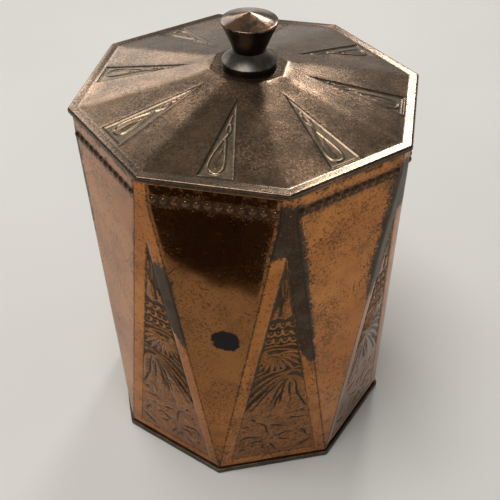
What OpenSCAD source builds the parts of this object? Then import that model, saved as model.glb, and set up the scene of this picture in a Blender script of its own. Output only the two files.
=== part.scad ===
// Eight-sided copper tea caddy with a lift-off lid.
// +Z is up. The origin is the middle of the foot, on the surface that the caddy stands on.
//
// The body is an octagon at the mouth and an octagon turned by half a corner at the base.
// Its walls are eight plain triangles, point down, between eight panelled faces, point up.
// The plain faces look along 0, 45, 90 ... degrees and the panelled faces halfway between.

/* [Body] */
// Width of the mouth across its plain faces
mouth_width = 105.2; // [100:0.2:105.4]
// Width of the mouth across its cut corners
mouth_corner_width = 111.9; // [111:0.1:112.5]
// Width of the base across its corners
base_width = 107; // [102:0.5:110]
// Height of the body sheet's folded part, from the foot to below the beads
fold_height = 119; // [90:1:140]
// Height of the straight wall between the folds and the top of the mouth
band_height = 8.3; // [7:0.1:12]
// Thickness of the copper sheet
sheet = 0.9; // [0.7:0.1:1.2]

/* [Decoration] */
// Number of beads along each plain face
beads_per_face = 12; // [6:1:14]
// Distance from one bead to the next
bead_pitch = 3.2; // [2.4:0.02:3.3]
// Radius of a bead
bead_radius = 0.95; // [0.7:0.05:1.1]
// How far a bead stands out of its face
bead_height = 0.7; // [0.4:0.05:0.8]
// Height of the bead row above the folds
bead_rise = 2.7; // [1.5:0.1:3.5]
// Depth of the sunk panels
panel_depth = 0.4; // [0.2:0.05:0.5]
// Width of a body panel at its foot
panel_width = 31.8; // [20:0.2:34]
// Distance from the foot of the face to the foot of its panel
panel_start = 4; // [2:0.5:10]
// Distance from the foot of the face to the point of its panel
panel_end = 105; // [60:1:106]

/* [Foot and mouth] */
// Height of the foot ring
foot_height = 2; // [1.5:0.1:4]
// How far the foot ring stands out from the body's corners
foot_proud = 1; // [0.8:0.1:2]
// Depth of the band that stiffens the mouth
band_depth = 8; // [4:0.1:8.3]
// Thickness of the strip that the mouth band and the foot ring are folded from
strip = 0.45; // [0.3:0.05:0.6]

/* [Lid] */
// Width of the lid across its flats
lid_width = 106; // [105.5:0.5:112]
// Thickness of the lid's folded edge
lid_edge = 1.6; // [1.4:0.1:2.5]
// Width of the flat border round the roof
border_width = 3.4; // [2.5:0.1:6]
// Height of the roof above the border
roof_height = 9; // [5:0.5:16]
// Width of the platform under the knob, across its flats
platform_width = 23.6; // [19:0.2:30]
// Width of a lid panel at the border
lid_panel_width = 10.6; // [6:0.2:14]
// Length of a lid panel up the roof
lid_panel_length = 31; // [20:0.5:32]
// Depth of the collar that plugs into the mouth
collar_depth = 11.8; // [8:0.1:20]
// Gap between the collar and the mouth band
collar_gap = 0.5; // [0.35:0.05:0.8]
// Gap between the lid's edge and the top of the mouth at rest
rest_gap = 0.3; // [0.2:0.05:0.4]

/* [Knob] */
// Radius of the knob's top
knob_radius = 8.85; // [7:0.05:12]
// Radius of the knob's neck
neck_radius = 5.2; // [4:0.1:6]
// Height of the knob above its rose, without its coned top
knob_height = 9.4; // [8:0.2:16]
// Rise of the knob's coned top
knob_crown = 2.5; // [1:0.1:4]
// Radius of the rose
rose_radius = 8.75; // [7.5:0.05:9.4]
// Height of the rose's straight edge
rose_edge = 2.2; // [1:0.1:3]
// Height of the rose's cone
rose_cone = 3.4; // [2:0.1:5]
// Radius of the stud
stud_radius = 2; // [1.5:0.1:2.5]

/* [Hidden] */

$fn = 96;
sides = 8;
side_angle = 360 / sides;
half_angle = side_angle / 2;
corner_ratio = 1 / cos(half_angle);

// Levels, from the table up
base_level = strip;
fold_bottom = foot_height;
fold_top = fold_bottom + fold_height;
mouth_top = fold_top + band_height;
shell_top = mouth_top - strip;
bead_level = fold_top + bead_rise;
lid_bottom = mouth_top + rest_gap;
border_top = lid_bottom + lid_edge;
border_under = border_top - sheet;
platform_top = border_top + roof_height;
platform_under = platform_top - sheet;
rose_top = platform_top + rose_edge + rose_cone;
collar_bottom = border_under - collar_depth;

// Widths of folds and steps in the sheet
hem_width = 1.7;
roof_inset = 0.2;
foot_lip = 3.6;
collar_sheet = 0.7;
lid_panel_start = 0.4;

// Apothems: distances from the axis to the faces
mouth_face = mouth_width / 2;
mouth_corner = mouth_corner_width / 2;
base_corner = base_width / 2;
base_face = base_corner / corner_ratio;
lid_face = lid_width / 2;
roof_face = lid_face - border_width;
platform_face = platform_width / 2;
hem_face = lid_face - hem_width;
collar_face = mouth_face - sheet - strip - collar_gap;
collar_corner = mouth_corner - sheet - strip - collar_gap;

// Leans of the panelled and plain faces from upright, and the slope of the roof
panel_lean = atan((mouth_corner - base_face) / fold_height);
roof_pitch = atan(roof_height / (roof_face - platform_face));
plain_lean = atan((base_corner - mouth_face) / fold_height);

// Solder: legs of the two fillets, and the run up the seam
base_leg = 1.5;
collar_leg = 1.2;
seam_width = 2;
seam_thickness = 0.35;
seam_start = 9;
seam_gap = 1;
seam_clearance = 0.04;

// Fastening of the knob
stud_clearance = 0.03;
hole_clearance = 0.2;
stud_in_knob = 5;
stud_end_gap = 0.2;
washer_radius = 5;
washer_height = 0.8;
nut_width = 7;
nut_height = 3;
stud_end = 1;
slack = 1;

copper = "#a0683f";
worn_copper = "#8d6a50";
dark_bronze = "#3a2d22";
solder_grey = "#9d9c96";
steel_grey = "#7c7a76";

// Regular octagon of the given apothem, with flats facing the plain faces
module plain_octagon(apothem) {
    rotate(half_angle) circle(r = apothem * corner_ratio, $fn = sides);
}

// The same octagon turned by half a corner, with flats facing the panelled faces
module turned_octagon(apothem) {
    circle(r = apothem * corner_ratio, $fn = sides);
}

// Outline of the mouth: an octagon with its corners cut off
module mouth_outline(inset) {
    intersection() {
        plain_octagon(mouth_face - inset);
        turned_octagon(mouth_corner - inset);
    }
}

// Eight-sided frustum with flats facing the plain faces
module plain_frustum(bottom, top, height) {
    rotate(half_angle)
        cylinder(r1 = bottom * corner_ratio, r2 = top * corner_ratio, h = height, $fn = sides);
}

// Eight-sided frustum with flats facing the panelled faces
module turned_frustum(bottom, top, height) {
    cylinder(r1 = bottom * corner_ratio, r2 = top * corner_ratio, h = height, $fn = sides);
}

// The body as a closed form, set in from the outside by the given amount
module body_form(inset, bottom, top) {
    translate([0, 0, bottom])
        linear_extrude(fold_bottom - bottom) turned_octagon(base_face - inset);
    translate([0, 0, fold_bottom])
        intersection() {
            plain_frustum(base_corner - inset * corner_ratio, mouth_face - inset, fold_height);
            turned_frustum(base_face - inset, mouth_corner - inset, fold_height);
        }
    translate([0, 0, fold_top])
        linear_extrude(top - fold_top) mouth_outline(inset);
}

// Isosceles triangle that is cut into a face: X points out of the face and Z up it
module sunk_triangle(width, start, end) {
    rotate([90, 0, 90])
        translate([0, 0, -panel_depth])
            linear_extrude(panel_depth + slack)
                polygon([[-width / 2, start], [width / 2, start], [0, end]]);
}

module body_panels() {
    for (i = [0 : sides - 1])
        rotate(half_angle + i * side_angle)
            translate([base_face, 0, fold_bottom])
                rotate([0, panel_lean, 0])
                    sunk_triangle(panel_width, panel_start, panel_end);
}

module bead_rows() {
    row = (beads_per_face - 1) * bead_pitch;
    for (i = [0 : sides - 1], j = [0 : beads_per_face - 1])
        rotate(i * side_angle)
            translate([mouth_face - sheet / 2, j * bead_pitch - row / 2, bead_level])
                rotate([0, 90, 0])
                    cylinder(r = bead_radius, h = sheet / 2 + bead_height, $fn = 24);
}

module body_shell() {
    color(copper)
        difference() {
            union() {
                body_form(0, base_level, shell_top);
                bead_rows();
            }
            body_form(sheet, -slack, shell_top + slack);
            body_panels();
        }
}

// Strip that lines the mouth and folds out over the top edge of the body sheet
module mouth_band() {
    color(worn_copper)
        difference() {
            union() {
                translate([0, 0, mouth_top - band_depth])
                    linear_extrude(band_depth) mouth_outline(sheet);
                translate([0, 0, shell_top])
                    linear_extrude(strip) mouth_outline(0);
            }
            translate([0, 0, mouth_top - band_depth - slack])
                linear_extrude(band_depth + 2 * slack) mouth_outline(sheet + strip);
        }
}

// Rim folded round the bottom edge of the body sheet, with a lip that carries the base
module foot_ring() {
    color(dark_bronze)
        difference() {
            linear_extrude(foot_height) turned_octagon(base_face + foot_proud / corner_ratio);
            translate([0, 0, -slack])
                linear_extrude(foot_height + 2 * slack) turned_octagon(base_face - foot_lip);
            translate([0, 0, strip])
                linear_extrude(foot_height) turned_octagon(base_face);
        }
}

module base_plate() {
    color(solder_grey)
        translate([0, 0, base_level])
            linear_extrude(sheet) turned_octagon(base_face - sheet);
}

// Fillet of solder between the base and the walls
module base_solder() {
    fillet_bottom = base_level + sheet;
    fillet_face = base_face - sheet;
    color(solder_grey)
        translate([0, 0, fillet_bottom])
            difference() {
                linear_extrude(base_leg) turned_octagon(fillet_face);
                turned_frustum(fillet_face - base_leg, fillet_face, base_leg);
            }
}

// Flat run of solder up the inside of the body's seam, at the back
module seam_solder() {
    inner_face = base_corner - sheet * corner_ratio;
    seam_length = collar_bottom - fold_bottom - seam_start - seam_gap;
    color(solder_grey)
        rotate(90)
            translate([inner_face, 0, fold_bottom])
                rotate([0, -plain_lean, 0])
                    translate([-seam_thickness - seam_clearance, -seam_width / 2, seam_start])
                        cube([seam_thickness, seam_width, seam_length]);
}

module lid_panels() {
    for (i = [0 : sides - 1])
        rotate(i * side_angle)
            translate([roof_face, 0, border_top])
                rotate([0, roof_pitch - 90, 0])
                    sunk_triangle(lid_panel_width, lid_panel_start, lid_panel_length);
}

module lid_top() {
    color(worn_copper)
        difference() {
            union() {
                translate([0, 0, lid_bottom])
                    linear_extrude(lid_edge) plain_octagon(lid_face);
                translate([0, 0, border_top])
                    plain_frustum(roof_face, platform_face, roof_height);
            }
            translate([0, 0, lid_bottom - slack])
                linear_extrude(lid_edge - sheet + slack) plain_octagon(hem_face);
            translate([0, 0, border_under])
                plain_frustum(roof_face - roof_inset, platform_face - roof_inset, roof_height);
            lid_panels();
            translate([0, 0, platform_under - slack])
                cylinder(r = stud_radius + hole_clearance, h = sheet + 2 * slack);
        }
}

module collar_outline(inset) {
    intersection() {
        plain_octagon(collar_face - inset);
        turned_octagon(collar_corner - inset);
    }
}

// Skirt that plugs into the mouth
module lid_collar() {
    color(solder_grey)
        translate([0, 0, collar_bottom])
            linear_extrude(collar_depth)
                difference() {
                    collar_outline(0);
                    collar_outline(collar_sheet);
                }
}

// Fillet of solder between the collar and the underside of the lid
module collar_solder() {
    inner_face = collar_face - collar_sheet;
    color(solder_grey)
        translate([0, 0, border_under - collar_leg])
            difference() {
                linear_extrude(collar_leg) collar_outline(collar_sheet);
                plain_frustum(inner_face, inner_face - collar_leg, collar_leg);
            }
}

// Points up the knob's flaring side, from the neck to just under the edge of its top
function flare_curve(steps = 6) = [
    for (i = [0 : steps])
        let (part = i / steps)
            [neck_radius + (knob_radius - neck_radius) * pow(part, 1.3) * 0.97, (knob_height - 0.5) * part]
];

module knob() {
    edge = 0.25;
    color(dark_bronze)
        translate([0, 0, rose_top])
            difference() {
                rotate_extrude()
                    polygon(concat(
                        [[0, 0]],
                        flare_curve(),
                        [[knob_radius, knob_height - edge], [knob_radius - edge, knob_height]],
                        [[0, knob_height + knob_crown]]
                    ));
                translate([0, 0, -slack])
                    cylinder(r = stud_radius + stud_clearance, h = stud_in_knob + slack);
            }
}

module knob_rose() {
    color(dark_bronze)
        translate([0, 0, platform_top])
            difference() {
                rotate_extrude()
                    polygon([
                        [0, 0],
                        [rose_radius, 0],
                        [rose_radius, rose_edge],
                        [(rose_radius + neck_radius) / 2 - 0.3, rose_edge + rose_cone / 2 - 0.3],
                        [neck_radius, rose_edge + rose_cone],
                        [0, rose_edge + rose_cone]
                    ]);
                translate([0, 0, -slack])
                    cylinder(r = stud_radius + hole_clearance, h = rose_edge + rose_cone + 2 * slack);
            }
}

module knob_stud() {
    stud_bottom = platform_under - washer_height - nut_height - stud_end;
    color(steel_grey)
        translate([0, 0, stud_bottom])
            cylinder(r = stud_radius, h = rose_top + stud_in_knob - stud_end_gap - stud_bottom);
}

module stud_washer() {
    color(steel_grey)
        translate([0, 0, platform_under - washer_height])
            difference() {
                cylinder(r = washer_radius, h = washer_height);
                translate([0, 0, -slack])
                    cylinder(r = stud_radius + hole_clearance, h = washer_height + 2 * slack);
            }
}

module stud_nut() {
    color(steel_grey)
        translate([0, 0, platform_under - washer_height - nut_height])
            difference() {
                translate([-nut_width / 2, -nut_width / 2, 0])
                    cube([nut_width, nut_width, nut_height]);
                translate([0, 0, -slack])
                    cylinder(r = stud_radius + stud_clearance, h = nut_height + 2 * slack);
            }
}

body_shell();
mouth_band();
foot_ring();
base_plate();
base_solder();
seam_solder();
lid_top();
lid_collar();
collar_solder();
knob();
knob_rose();
knob_stud();
stud_washer();
stud_nut();
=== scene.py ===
import functools
import math

import bmesh
import bpy
import numpy as np
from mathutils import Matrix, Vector
from mathutils.geometry import delaunay_2d_cdt


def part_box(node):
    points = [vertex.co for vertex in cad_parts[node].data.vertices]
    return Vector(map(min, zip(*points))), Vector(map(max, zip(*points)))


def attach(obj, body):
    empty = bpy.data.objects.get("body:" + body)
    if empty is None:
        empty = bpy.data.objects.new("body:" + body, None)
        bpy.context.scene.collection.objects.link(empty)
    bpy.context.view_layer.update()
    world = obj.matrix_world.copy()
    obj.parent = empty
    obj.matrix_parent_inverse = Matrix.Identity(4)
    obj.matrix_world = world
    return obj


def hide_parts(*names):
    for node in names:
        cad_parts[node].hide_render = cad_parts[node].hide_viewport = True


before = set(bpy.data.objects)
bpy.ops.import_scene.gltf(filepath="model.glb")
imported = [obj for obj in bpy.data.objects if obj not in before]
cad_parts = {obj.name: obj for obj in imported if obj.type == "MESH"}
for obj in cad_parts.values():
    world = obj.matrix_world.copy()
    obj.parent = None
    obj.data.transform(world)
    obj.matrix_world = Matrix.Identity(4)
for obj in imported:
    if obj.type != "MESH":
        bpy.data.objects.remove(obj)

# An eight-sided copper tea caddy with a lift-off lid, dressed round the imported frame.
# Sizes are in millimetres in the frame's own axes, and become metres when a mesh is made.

MM = 0.001
SIDES = 8
STEP = math.radians(360 / SIDES)
HALF = STEP / 2
QUARTER = STEP / 4

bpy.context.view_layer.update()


# ---------------------------------------------------------------- sizes from the frame

def corners(node):
    """Lowest and highest corners of a CAD node, in millimetres."""
    low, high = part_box(node)
    return np.array(low) / MM, np.array(high) / MM


shell_low, shell_high = corners("body_shell")
band_low, band_high = corners("mouth_band")
_, foot_high = corners("foot_ring")
base_low, base_high = corners("base_plate")
lid_low, lid_high = corners("lid_top")
collar_low, collar_high = corners("lid_collar")
rose_low, rose_high = corners("knob_rose")
knob_low, knob_high = corners("knob")
stud_low, stud_high = corners("knob_stud")
washer_low, washer_high = corners("stud_washer")
nut_low, nut_high = corners("stud_nut")
seam_low, seam_high = corners("seam_solder")
fillet_low, fillet_high = corners("base_solder")
collar_fillet_low, collar_fillet_high = corners("collar_solder")

SHEET = 0.9
STRIP = 0.45

# Body: the plain faces look along 0, 45 ... degrees and the panelled faces halfway between
BASE_CORNER = shell_high[0]
BASE_FACE = BASE_CORNER * math.cos(HALF)
MOUTH_FACE = band_high[0]
MOUTH_CORNER = 55.95
FOLD_BOTTOM = foot_high[2]
MOUTH_TOP = band_high[2]
WALL_HEIGHT = 8.3
FOLD_TOP = MOUTH_TOP - WALL_HEIGHT
BEAD_LEVEL = FOLD_TOP + 2.7
BEAD_PITCH = 3.2
BEADS = 12
PANEL_FOOT = FOLD_BOTTOM + 4
PANEL_POINT = FOLD_BOTTOM + 105
PANEL_HALF = 15.9

# Lid
LID_FACE = lid_high[0]
ROOF_FACE = LID_FACE - 3.4
PLATFORM_FACE = 11.8
LID_BOTTOM = lid_low[2]
BORDER_TOP = LID_BOTTOM + 1.6
PLATFORM_TOP = lid_high[2]
COLLAR_SHEET = 0.7

# Knob and its fastening
NECK = 5.2
STUD_HOLE = stud_high[0] + 0.2
THREAD_HOLE = stud_high[0] + 0.03


# ---------------------------------------------------------------- mesh helpers

class Shape:
    """Points in millimetres, faces, and named values at the points, gathered into one mesh."""

    def __init__(self, *value_names):
        self.points = []
        self.faces = []
        self.count = 0
        self.values = {name: [] for name in value_names}

    def add(self, points, faces, **values):
        points = np.asarray(points, float)
        self.points.append(points)
        self.faces.extend([tuple(i + self.count for i in face) for face in faces])
        self.count += len(points)
        for name, held in self.values.items():
            held.append(np.broadcast_to(np.asarray(values.get(name, 0.0), float), len(points)))

    def piece(self, name, material, body, node, sharp_from=50):
        """Makes the mesh object, joins points that meet, and hangs it in the frame.

        Edges that turn by more than sharp_from degrees are shaded sharp.
        """
        mesh = bpy.data.meshes.new(name)
        mesh.from_pydata(np.concatenate(self.points) * MM, [], self.faces)
        for value_name, held in self.values.items():
            layer = mesh.attributes.new(value_name, "FLOAT", "POINT")
            layer.data.foreach_set("value", np.concatenate(held).astype(np.float32))
        work = bmesh.new()
        work.from_mesh(mesh)
        bmesh.ops.remove_doubles(work, verts=work.verts, dist=0.002 * MM)
        bmesh.ops.recalc_face_normals(work, faces=work.faces)
        work.to_mesh(mesh)
        work.free()
        mesh.shade_smooth()
        mesh.set_sharp_from_angle(angle=math.radians(sharp_from))
        mesh.materials.append(material)
        made = bpy.data.objects.new(name, mesh)
        bpy.context.scene.collection.objects.link(made)
        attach(made, body)
        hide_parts(node)
        return made


def waves(points, size, seed, count=14):
    """A smooth uneven field, about -1 to 1, with swells of the given size."""
    dice = np.random.default_rng(seed)
    total = np.zeros(len(points))
    for _ in range(count):
        heading = dice.normal(size=3)
        heading /= np.linalg.norm(heading)
        length = size * dice.uniform(0.7, 1.6)
        total += np.sin(points @ heading * 2 * math.pi / length + dice.uniform(0, 2 * math.pi))
    return total / math.sqrt(count)


def ring_faces(rings, around, closed):
    """Quads between rings of points, wrapping round each ring and, if closed, back to the first."""
    faces = []
    for i in range(rings if closed else rings - 1):
        here, there = i * around, (i + 1) % rings * around
        for j in range(around):
            k = (j + 1) % around
            faces.append((here + j, here + k, there + k, there + j))
    return faces


def facing(angle):
    """Out of a face that looks along an angle, and to the right across it as seen from outside."""
    out = np.array([math.cos(angle), math.sin(angle)])
    return out, np.array([-out[1], out[0]])


def circle(around):
    """Points round a circle of radius 1."""
    angles = np.arange(around) * 2 * math.pi / around
    return np.column_stack([np.cos(angles), np.sin(angles)])


def at_height(loop, z):
    """A flat loop of points, at a height."""
    return np.column_stack([loop, np.full(len(loop), z)])


def sweep(shape, profile, outline, closed=True, **values):
    """Carries a profile of (place, z) points round outline(place), a closed loop of points."""
    rings = [at_height(outline(place), z) for place, z in profile]
    shape.add(np.concatenate(rings), ring_faces(len(rings), len(rings[0]), closed), **values)


def turn(shape, profile, around=96, closed=True, **values):
    """Turns a profile of (radius, z) points about the axis."""
    ring = circle(around)
    sweep(shape, profile, lambda radius: ring * radius, closed, **values)


def arc(centre, radius, start, end, steps):
    """Points of an arc in the (place, z) plane, angles in degrees."""
    return [
        (centre[0] + radius * math.cos(math.radians(a)), centre[1] + radius * math.sin(math.radians(a)))
        for a in np.linspace(start, end, steps + 1)
    ]


def flat_samples(half, columns, soft=0.6):
    """Places across a flat of the given half width, with one close to each end."""
    soft = min(soft, half / 3)
    inner = np.linspace(-half + soft, half - soft, columns - 2)
    return np.concatenate([[-half], inner, [half]])


def octagon(apothem, first_angle, corner=0.0, columns=14, arc_steps=4):
    """Loop round a regular octagon whose first flat looks along first_angle, corners rounded."""
    width = apothem * math.tan(HALF)
    cut = corner * math.tan(HALF)
    across = flat_samples(width - cut, columns)
    loop = []
    for i in range(SIDES):
        angle = first_angle + i * STEP
        out, side = facing(angle)
        loop.extend(out * apothem + side * t for t in across)
        centre = facing(angle + HALF)[0] * (apothem - corner) / math.cos(HALF)
        for j in range(1, arc_steps):
            loop.append(centre + corner * facing(angle + STEP * j / arc_steps)[0])
    return np.array(loop)


SLIVER = 1e-5


def triangulate(half_width, outline, inner):
    """Delaunay triangles of a face's outline and the points inside it, with no slivers along its sides."""
    points = [Vector((float(a), float(b))) for a, b in [*outline, *inner]]
    found = delaunay_2d_cdt(points, [], [list(range(len(outline)))], 1, 1e-4, False)
    flat = np.array([tuple(v) for v in found[0]])
    faces = np.array([tuple(f) for f in found[2]])
    a, b, c = flat[faces[:, 0]], flat[faces[:, 1]], flat[faces[:, 2]]
    area = np.abs((b - a)[:, 0] * (c - a)[:, 1] - (b - a)[:, 1] * (c - a)[:, 0]) / 2
    middle = (a + b + c) / 3
    inside = np.abs(middle[:, 0]) < np.array([half_width(z) for z in middle[:, 1]])
    return flat, [tuple(face) for face in faces[(area > SLIVER) & inside].tolist()]


def lattice(low, high, bottom, top, pitch):
    """Staggered rows of points over a rectangle."""
    rows = []
    rise = pitch * math.sin(math.radians(60))
    for i in range(int((top - bottom) / rise) + 1):
        start = low + (pitch / 2 if i % 2 else 0)
        across = np.arange(start, high, pitch)
        rows.append(np.column_stack([across, np.full(len(across), bottom + i * rise)]))
    return np.concatenate(rows)


def eased(value):
    """Smooth step of a value that is clipped to 0 to 1."""
    value = np.clip(value, 0, 1)
    return value * value * (3 - 2 * value)


# ---------------------------------------------------------------- relief, as heights over a face

class Relief:
    """Heights in millimetres at points (t across, s up) of a face, built up stroke by stroke."""

    def __init__(self, t, s, ground):
        self.t, self.s = t, s
        self.ground = ground
        self.raised = np.zeros(len(t))
        self.cuts = np.zeros(len(t))

    def nearest(self, path):
        """Distance to a path, and how far along it the nearest point is, 0 to 1."""
        path = np.asarray(path, float)
        lengths = np.linalg.norm(np.diff(path, axis=0), axis=1)
        total = lengths.sum()
        best = np.full(len(self.t), 1e9)
        along = np.zeros(len(self.t))
        passed = 0.0
        for a, b, length in zip(path[:-1], path[1:], lengths):
            step = (b - a) / length
            run = np.clip((self.t - a[0]) * step[0] + (self.s - a[1]) * step[1], 0, length)
            far = np.hypot(self.t - a[0] - run * step[0], self.s - a[1] - run * step[1])
            closer = far < best
            best = np.where(closer, far, best)
            along = np.where(closer, (passed + run) / total, along)
            passed += length
        return best, along

    def ridge(self, path, width, height):
        """Raised line with round flanks."""
        far, _ = self.nearest(smooth(path))
        self.raised = np.maximum(self.raised, height * np.clip(1 - (far / width) ** 2, 0, 1) ** 0.75)

    def groove(self, path, width, depth):
        """Cut line, fading at both ends."""
        far, along = self.nearest(smooth(path))
        fade = 0.45 + 0.55 * np.sin(math.pi * along)
        self.cuts = np.maximum(self.cuts, depth * fade * np.exp(-((far / width) ** 2)))

    def leaf(self, path, width, height, vein=0.0, widest=0.4):
        """Domed leaf along a path, pointed at both ends, with an optional sunk vein."""
        far, along = self.nearest(smooth(path))
        bulge = np.clip(np.sin(math.pi * along ** (math.log(0.5) / math.log(widest))), 0, 1) ** 0.6
        edge = np.clip(1 - (far / np.maximum(width * bulge, 0.05)) ** 2, 0, 1) ** 0.5
        self.raised = np.maximum(self.raised, height * edge)
        if vein:
            self.cuts = np.maximum(self.cuts, vein * np.exp(-((far / 0.3) ** 2)) * (bulge > 0.3))

    def blob(self, centre, length, width, angle, height):
        """Domed oval."""
        turned = math.radians(angle)
        a = (self.t - centre[0]) * math.cos(turned) + (self.s - centre[1]) * math.sin(turned)
        b = -(self.t - centre[0]) * math.sin(turned) + (self.s - centre[1]) * math.cos(turned)
        inside = np.clip(1 - (a / length) ** 2 - (b / width) ** 2, 0, 1)
        self.raised = np.maximum(self.raised, height * inside ** 0.5)

    def heights(self):
        return self.ground + self.raised - self.cuts


def smooth(path, steps=5):
    """Catmull-Rom curve through the points of a path."""
    path = np.asarray(path, float)
    if len(path) < 3:
        return path
    held = np.concatenate([[2 * path[0] - path[1]], path, [2 * path[-1] - path[-2]]])
    found = []
    for a, b, c, d in zip(held[:-3], held[1:-2], held[2:-1], held[3:]):
        for u in np.arange(steps) / steps:
            found.append(0.5 * (2 * b + (c - a) * u + (2 * a - 5 * b + 4 * c - d) * u ** 2
                                + (3 * b - a - 3 * c + d) * u ** 3))
    found.append(path[-1])
    return np.array(found)


def panel_edge(z):
    """Half width of a body panel at a height."""
    return PANEL_HALF * (PANEL_POINT - z) / (PANEL_POINT - PANEL_FOOT)


def flower_stem(relief):
    """Wavy stem and bud in the narrow top of a panel."""
    stem = [(0.5, 101.5), (0.9, 98), (0.5, 95.4), (1.5, 92), (1.7, 88.4), (2.8, 85.4), (3.0, 80)]
    relief.ridge(stem, 0.42, 0.5)
    relief.ridge([(-0.5, 97), (-0.5, 93), (-0.1, 88.6)], 0.3, 0.34)
    relief.ridge([(0.5, 94.6), (0.7, 91), (0.6, 87.6)], 0.26, 0.3)
    relief.leaf([(1.1, 78.2), (1.4, 82), (1.0, 88)], 1.6, 0.5)
    relief.leaf([(-2.4, 78.4), (-2.1, 81), (-1.3, 84.4)], 0.85, 0.42)
    relief.ridge([(-3.3, 79.0), (-1.6, 79.6), (0.6, 79.0), (2.6, 79.6)], 0.5, 0.42)
    relief.groove([(0.4, 86), (0.9, 83.4), (0.4, 81)], 0.3, 0.2)


def curls(relief):
    """Rows of small scrolls under the bud."""
    rows = [(75.6, (-2.7, 0.5, 3.6)), (71.9, (-3.3, -0.9, 1.7, 4.6)), (68.3, (-3.9, -1.3, 1.4, 4.2))]
    for k, (s, places) in enumerate(rows):
        for j, t in enumerate(places):
            lean = 0.5 * math.sin(3.1 * j + 1.7 * k)
            hook = [(t - 1.25, s + 0.9 + lean), (t - 1.0, s - 0.5), (t, s - 1.15),
                    (t + 1.0, s - 0.5), (t + 1.25, s + 0.9 - lean)]
            relief.ridge(hook, 0.46, 0.52)
            relief.blob((t, s + 0.5), 0.5, 0.4, 0, 0.34)
    relief.ridge([(-4.8, 65.4), (-2, 66.1), (0.8, 65.5), (3.6, 65.9), (5.8, 65.0)], 0.5, 0.42)


def fan_flower(relief):
    """Half round of long petals, opening downwards and drooping on the right."""
    centre = np.array([-1.9, 61.6])
    petals = 13
    for i in range(petals):
        part = i / (petals - 1)
        angle = math.radians(-186 + 184 * part)
        reach = 6.4 + 4.6 * part ** 0.8 + 0.5 * math.sin(i * 2.1)
        heading = np.array([math.cos(angle), math.sin(angle)])
        root = centre + 0.9 * heading
        bow = np.array([0, 1.3 * abs(heading[0])])
        tip = centre + reach * heading - bow * 0.8
        relief.leaf([root, (root + tip) / 2 + bow, tip], 0.72, 0.5, widest=0.6)
    relief.blob(centre, 1.2, 0.9, 10, 0.6)
    relief.ridge([(-6.4, 62.4), (-4.2, 63.9), (-1.0, 64.1), (2.4, 63.5), (7.2, 61.8)], 0.5, 0.42)


# Upper edge of the large leaves: places across a panel and their heights up it
LEAF_EDGE = [(-12, 31), (-8, 37.5), (-5, 41.0), (-2.5, 45.2), (0, 48.2), (2.5, 50.2),
             (5, 50.0), (7, 49.0), (8.6, 47), (10.5, 41), (12, 32)]


def leaf_cover(t, s):
    """1 where the large leaves and the ground under them fill the panel, 0 above them."""
    return eased((np.interp(t, *np.array(LEAF_EDGE).T) - s) / 0.9)


def broad_leaves(relief):
    """Blades and large drooping leaves under the flower, all from one root."""
    blades = [
        [(3.4, 51.9), (-1.8, 50.0), (-6.2, 46.6), (-9.2, 43.2)],
        [(3.5, 51.1), (-1.4, 48.0), (-5.8, 43.4), (-10.2, 37.4)],
        [(1.4, 53.0), (-3.6, 51.9), (-8.0, 49.2)],
        [(-5.0, 53.2), (-8.0, 51.6)],
        [(3.6, 51.7), (6.4, 51.9), (8.6, 50.2)],
        [(4.4, 53.0), (6.8, 53.6), (8.2, 53.0)],
    ]
    for path in blades:
        relief.ridge(path, 0.62, 0.46)
    relief.leaf([(3.2, 50.0), (-2.5, 43.6), (-6.2, 38.6), (-10.4, 32.0)], 2.3, 0.12)
    relief.leaf([(3.6, 49.0), (0.2, 42.6), (-2.6, 36.0), (-6.0, 27.0)], 2.4, 0.13)
    relief.leaf([(4.2, 48.6), (3.4, 42.0), (2.8, 35.0), (2.2, 27.5)], 1.9, 0.12)
    relief.leaf([(4.4, 49.6), (7.6, 46.8), (9.0, 41.5), (11.0, 32.0)], 1.2, 0.22)
    relief.leaf([(5.4, 47.6), (6.2, 42.0), (7.0, 36.5), (8.6, 27.5)], 1.7, 0.12)
    edges = [
        [(2.2, 49.0), (-1.6, 44.2), (-4.4, 40.0), (-6.6, 36.4), (-9.4, 32.0)],
        [(2.8, 48.4), (0.6, 43.6), (-0.6, 39.6), (-2.4, 34.4)],
        [(3.4, 48.6), (2.0, 44.0), (1.5, 39.5), (1.1, 34.5)],
        [(4.0, 46.0), (4.3, 41.5), (4.6, 37.5)],
        [(5.0, 48.6), (6.4, 44.5), (6.9, 40), (8.4, 36), (10.8, 31)],
        [(1.3, 41.0), (0.0, 37.2), (-0.8, 33.4)],
        [(-3.6, 43.2), (-5.6, 40.8), (-8.6, 37.2)],
    ]
    for path in edges:
        relief.groove(path, 0.5, 0.34)


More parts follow.
